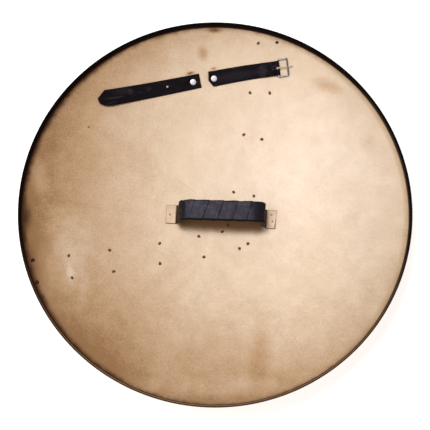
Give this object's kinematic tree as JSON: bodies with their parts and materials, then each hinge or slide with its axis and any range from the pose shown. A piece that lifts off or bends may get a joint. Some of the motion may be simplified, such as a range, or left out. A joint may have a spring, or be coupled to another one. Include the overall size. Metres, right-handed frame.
{
  "type": "hoplite shield",
  "caption": "Round dished sheet-metal shield lying on its front, with a leather-wound hand grip and a buckled leather arm strap in its hollow side.",
  "frame": {"origin": "middle of the flat spot under the dome, on the surface that the shield lies on", "axes": "+Z up, out of the hollow side; +X to the right and +Y up for someone who looks into the dish with the arm strap at the top"},
  "size_m": [0.813, 0.813, 0.0817],
  "materials": {
    "antique_brass": "aged, finely speckled",
    "black_leather": "smooth black, worn",
    "nickel": "bright nickel",
    "dark_pin": "dark brown"
  },
  "bodies": {
    "shield": {"shield_dish": "antique_brass", "grip_strip": "antique_brass", "grip_wrap": "black_leather", "grip_rivet_left": "antique_brass", "grip_rivet_right_upper": "antique_brass", "grip_rivet_right_lower": "antique_brass", "strap_tip_half": "black_leather", "strap_buckle_half": "black_leather", "strap_rivet_tip": "nickel", "strap_rivet_buckle": "nickel", "pin_up_1_left": "dark_pin", "pin_up_1_right": "dark_pin", "pin_up_2_left": "dark_pin", "pin_up_2_right": "dark_pin", "pin_up_3_left": "dark_pin", "pin_up_3_right": "dark_pin", "pin_up_4_left": "dark_pin", "pin_up_4_right": "dark_pin", "pin_side_1_lower": "dark_pin", "pin_side_1_upper": "dark_pin", "pin_side_2_lower": "dark_pin", "pin_side_2_upper": "dark_pin", "pin_side_3_lower": "dark_pin", "pin_side_3_upper": "dark_pin", "pin_side_4_lower": "dark_pin", "pin_side_4_upper": "dark_pin", "pin_side_5_lower": "dark_pin", "pin_side_5_upper": "dark_pin", "pin_corner_1_lower": "dark_pin", "pin_corner_1_upper": "dark_pin", "pin_corner_2_lower": "dark_pin", "pin_corner_2_upper": "dark_pin"},
    "buckle_frame": {"buckle_frame": "nickel"},
    "buckle_prong": {"buckle_prong": "nickel"}
  },
  "joints": [
    {"name": "buckle_swing", "type": "hinge", "parent": "shield", "child": "buckle_frame", "pos_m": [0.13459, 0.31343, 0.0505], "axis": [0.1317, -0.9614, -0.2415], "range_deg": [0, 90]},
    {"name": "prong_swing", "type": "hinge", "parent": "buckle_frame", "child": "buckle_prong", "pos_m": [0.13459, 0.31343, 0.0505], "axis": [0.1317, -0.9614, -0.2415], "range_deg": [0, 60]}
  ]
}
